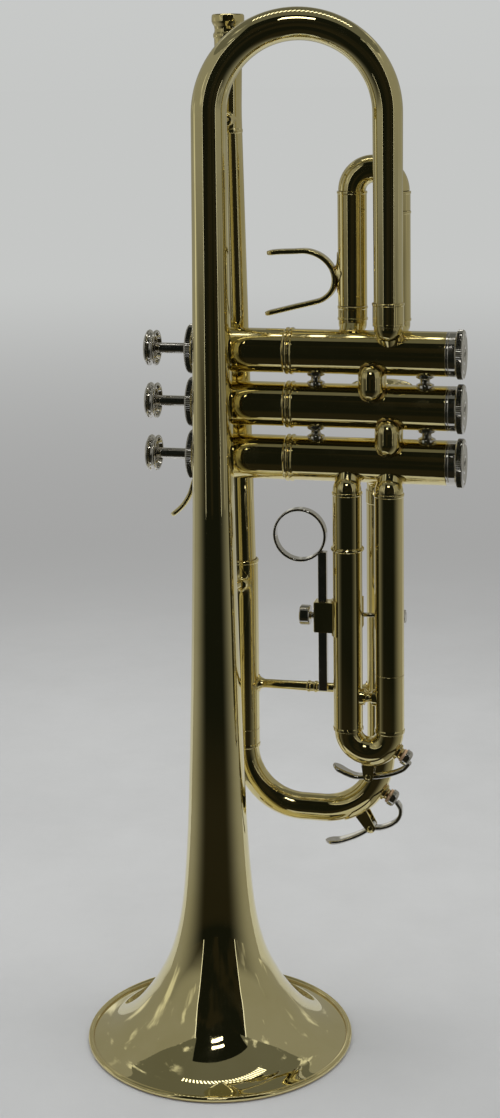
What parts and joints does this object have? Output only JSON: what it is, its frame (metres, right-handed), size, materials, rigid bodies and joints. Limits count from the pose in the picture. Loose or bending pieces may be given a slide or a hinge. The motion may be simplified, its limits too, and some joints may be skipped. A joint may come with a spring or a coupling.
{
  "type": "trumpet",
  "caption": "B-flat trumpet standing on its bell: flared bell, piston valves, tuning slides, water keys, thumb saddle, finger ring and pinky hook.",
  "frame": {"origin": "centre of the bell rim, on the surface that the rim stands on", "axes": "+Z along the bell axis, from the rim into the instrument; +X towards the bottom valve caps, so the finger buttons are at -X; +Y from the bell towards the leadpipe"},
  "size_m": [0.1735, 0.1374, 0.4756],
  "materials": {
    "brass_lacquer": "clear gold lacquer over polished brass",
    "nickel": "bright nickel plate, polished",
    "nickel_silver": "drawn nickel-silver tube, bare where it slides",
    "monel": "lapped valve alloy with a grey sheen",
    "spring_steel": "bright spring wire",
    "cork": "natural cork, sanded",
    "felt": "pressed white felt"
  },
  "bodies": {
    "trumpet_body": {"bell_flare": "brass_lacquer", "bell_rim": "brass_lacquer", "bell_bow": "brass_lacquer", "tail_ferrule": "brass_lacquer", "port_knuckles": "brass_lacquer", "crossover_knuckles": "brass_lacquer", "receiver": "brass_lacquer", "leadpipe": "brass_lacquer", "main_upper_outer": "brass_lacquer", "main_lower_outer": "brass_lacquer", "main_brace": "brass_lacquer", "bell_braces": "brass_lacquer", "pinky_hook": "brass_lacquer", "casing_posts": "brass_lacquer", "top_caps": "nickel", "bottom_caps": "nickel", "valve_guides": "nickel_silver", "first_fixed_tubes": "brass_lacquer", "second_fixed_tubes": "brass_lacquer", "third_fixed_tubes": "brass_lacquer", "valve_casing_1": "brass_lacquer", "valve_casing_2": "brass_lacquer", "valve_casing_3": "brass_lacquer"},
    "valve_1": {"piston_1": "monel", "valve_stem_1": "nickel", "finger_button_1": "nickel", "valve_felt_1": "felt", "valve_spring_1": "spring_steel"},
    "valve_2": {"piston_2": "monel", "valve_stem_2": "nickel", "finger_button_2": "nickel", "valve_felt_2": "felt", "valve_spring_2": "spring_steel"},
    "valve_3": {"piston_3": "monel", "valve_stem_3": "nickel", "finger_button_3": "nickel", "valve_felt_3": "felt", "valve_spring_3": "spring_steel"},
    "main_slide": {"main_bow": "brass_lacquer", "main_legs": "nickel_silver", "main_key_saddle": "brass_lacquer"},
    "main_key": {"main_key_lever": "nickel", "main_key_cork": "cork"},
    "third_slide": {"third_sleeve": "brass_lacquer", "third_inner": "nickel_silver", "third_crook": "brass_lacquer", "third_brace": "brass_lacquer", "ring_clamp": "brass_lacquer", "lyre_holder": "brass_lacquer", "third_key_saddle": "brass_lacquer"},
    "third_key": {"third_key_lever": "nickel", "third_key_cork": "cork"},
    "ring_rod": {"finger_ring": "nickel"},
    "ring_thumbscrew": {"ring_screw": "nickel"},
    "lyre_thumbscrew": {"lyre_screw": "nickel"},
    "first_slide": {"first_crook": "brass_lacquer", "first_sleeve": "brass_lacquer", "thumb_saddle": "brass_lacquer"},
    "second_slide_body": {"second_slide": "brass_lacquer", "pull_knob": "brass_lacquer"}
  },
  "joints": [
    {"name": "press_valve_1", "type": "slide", "parent": "trumpet_body", "child": "valve_1", "axis": [1, 0, 0], "range_m": [0, 0.015], "stiffness_N_per_m": 180, "springref_m": -0.012, "deforming": ["valve_spring_1"]},
    {"name": "press_valve_2", "type": "slide", "parent": "trumpet_body", "child": "valve_2", "axis": [1, 0, 0], "range_m": [0, 0.015], "stiffness_N_per_m": 180, "springref_m": -0.012, "deforming": ["valve_spring_2"]},
    {"name": "press_valve_3", "type": "slide", "parent": "trumpet_body", "child": "valve_3", "axis": [1, 0, 0], "range_m": [0, 0.015], "stiffness_N_per_m": 180, "springref_m": -0.012, "deforming": ["valve_spring_3"]},
    {"name": "pull_main_slide", "type": "slide", "parent": "trumpet_body", "child": "main_slide", "axis": [0, 0, -1], "range_m": [0, 0.04]},
    {"name": "pull_third_slide", "type": "slide", "parent": "trumpet_body", "child": "third_slide", "axis": [0, 0, -1], "range_m": [0, 0.025]},
    {"name": "throw_first_slide", "type": "slide", "parent": "trumpet_body", "child": "first_slide", "axis": [0, 0, 1], "range_m": [0, 0.018]},
    {"name": "pull_second_slide", "type": "slide", "parent": "trumpet_body", "child": "second_slide_body", "axis": [0, 1, 0], "range_m": [0, 0.012]},
    {"name": "set_finger_ring", "type": "slide", "parent": "third_slide", "child": "ring_rod", "axis": [0, 0, 1], "range_m": [-0.01, 0.01]},
    {"name": "turn_ring_screw", "type": "hinge", "parent": "third_slide", "child": "ring_thumbscrew", "pos_m": [0.0398, 0.0125, 0.1991], "axis": [1, 0, 0], "continuous": true},
    {"name": "turn_lyre_screw", "type": "hinge", "parent": "third_slide", "child": "lyre_thumbscrew", "pos_m": [0.0818, 0.0227, 0.1977], "axis": [1, 0, 0], "continuous": true},
    {"name": "open_main_water_key", "type": "hinge", "parent": "main_slide", "child": "main_key", "pos_m": [0.0656, 0.038, 0.0907], "axis": [0, 1, 0], "range_deg": [0, 18], "stiffness_Nm_per_rad": 0.02, "springref_deg": -40.11},
    {"name": "open_third_water_key", "type": "hinge", "parent": "third_slide", "child": "third_key", "pos_m": [0.0689, 0.0125, 0.1256], "axis": [0, 1, 0], "range_deg": [0, 18], "stiffness_Nm_per_rad": 0.02, "springref_deg": -40.11}
  ]
}
